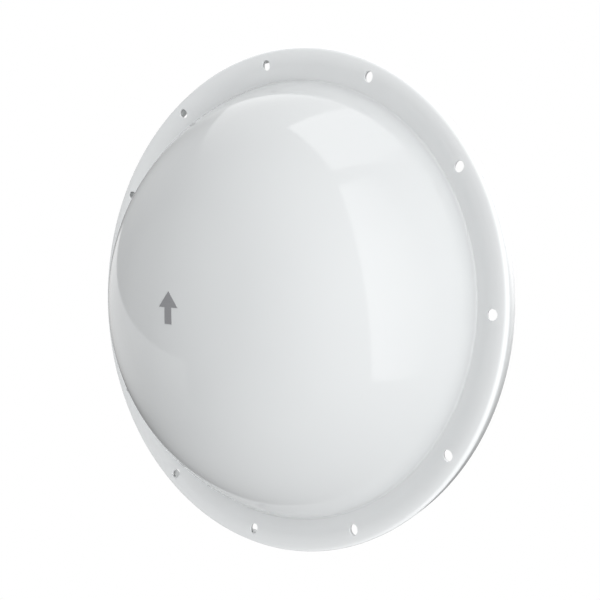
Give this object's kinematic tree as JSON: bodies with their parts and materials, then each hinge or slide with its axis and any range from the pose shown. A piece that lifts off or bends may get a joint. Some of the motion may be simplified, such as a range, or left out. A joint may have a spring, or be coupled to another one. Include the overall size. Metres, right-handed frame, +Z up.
{
  "type": "radome antenna",
  "caption": "Parabolic dish antenna under a domed white front radome with a drilled rim flange, on an azimuth and elevation bracket that clamps to a pole.",
  "frame": {"origin": "on the axis of the pole, midway between the two clamps", "axes": "+Z up along the pole, -Y along the beam towards the dome, +X to the right of someone who faces the dome"},
  "size_m": [0.6599, 0.5579, 0.66],
  "materials": {
    "radome_white": "glossy moulded weatherproof plastic with a faint orange-peel",
    "mark_grey": "screen-printed matt grey mark",
    "gasket_black": "closed-cell black rubber",
    "dish_paint": "light grey powder coat on spun aluminium",
    "hub_paint": "light grey powder coat on pressed aluminium",
    "rivet_aluminium": "bare blind-rivet aluminium",
    "feed_aluminium": "clear-anodised turned aluminium",
    "cast_aluminium": "as-cast aluminium with a fine grain",
    "cone_plastic": "natural off-white low-loss plastic",
    "plug_plastic": "black moulded plastic",
    "bush_plastic": "dark self-lubricating bearing plastic",
    "galvanised": "hot-dip galvanised steel with spangle",
    "zinc_hardware": "bright zinc-plated steel fastener",
    "stainless": "stainless-steel fastener",
    "connector_nickel": "nickel-plated brass",
    "scale_plate": "etched aluminium scale plate"
  },
  "bodies": {
    "pole_mount": {"pole_bracket": "galvanised", "pole_saddle_upper": "cast_aluminium", "pole_saddle_lower": "cast_aluminium", "saddle_screws": "zinc_hardware", "clamp_jaw_upper": "cast_aluminium", "clamp_jaw_lower": "cast_aluminium", "clamp_bolts": "zinc_hardware", "clamp_washers": "zinc_hardware", "clamp_nuts": "zinc_hardware", "azimuth_pivot_bolts": "zinc_hardware", "azimuth_pivot_washers": "zinc_hardware", "azimuth_pivot_nuts": "zinc_hardware", "ground_stud": "stainless"},
    "yoke": {"azimuth_yoke": "galvanised", "azimuth_bushes": "bush_plastic", "azimuth_lock_bolts": "zinc_hardware", "azimuth_lock_washers": "zinc_hardware", "azimuth_lock_nuts": "zinc_hardware", "elevation_pivot_bolts": "zinc_hardware", "elevation_pivot_washers": "zinc_hardware", "elevation_pivot_nuts": "zinc_hardware", "elevation_lock_bolts": "zinc_hardware", "elevation_lock_washers": "zinc_hardware", "elevation_lock_nuts": "zinc_hardware"},
    "dish": {"tilt_bracket": "galvanised", "elevation_bushes": "bush_plastic", "elevation_scales": "scale_plate", "hub_bolts": "stainless", "hub_washers": "stainless", "hub_nuts": "stainless", "back_hub": "hub_paint", "hub_rivets": "rivet_aluminium", "hub_spacer": "feed_aluminium", "reflector_dish": "dish_paint", "drain_plug": "plug_plastic", "rf_transition_block": "feed_aluminium", "transition_cover": "feed_aluminium", "transition_screws": "stainless", "rf_connector_left": "connector_nickel", "rf_connector_right": "connector_nickel", "feed_flange": "feed_aluminium", "feed_oring": "gasket_black", "feed_flange_screws": "stainless", "feed_tube": "feed_aluminium", "dielectric_cone": "cone_plastic", "subreflector": "feed_aluminium", "subreflector_screw": "stainless"},
    "radome": {"radome_shell": "radome_white", "up_arrow": "mark_grey", "rim_gasket": "gasket_black"}
  },
  "joints": [
    {"name": "azimuth_swivel", "type": "hinge", "parent": "pole_mount", "child": "yoke", "pos_m": [0, -0.064, 0], "axis": [0, 0, 1], "range_deg": [-15, 15]},
    {"name": "elevation_tilt", "type": "hinge", "parent": "yoke", "child": "dish", "pos_m": [0, -0.15, -0.045], "axis": [-1, 0, 0], "range_deg": [-20, 20]},
    {"name": "radome_lift_off", "type": "slide", "parent": "dish", "child": "radome", "axis": [0, -1, 0], "range_m": [0, 0.2]}
  ]
}
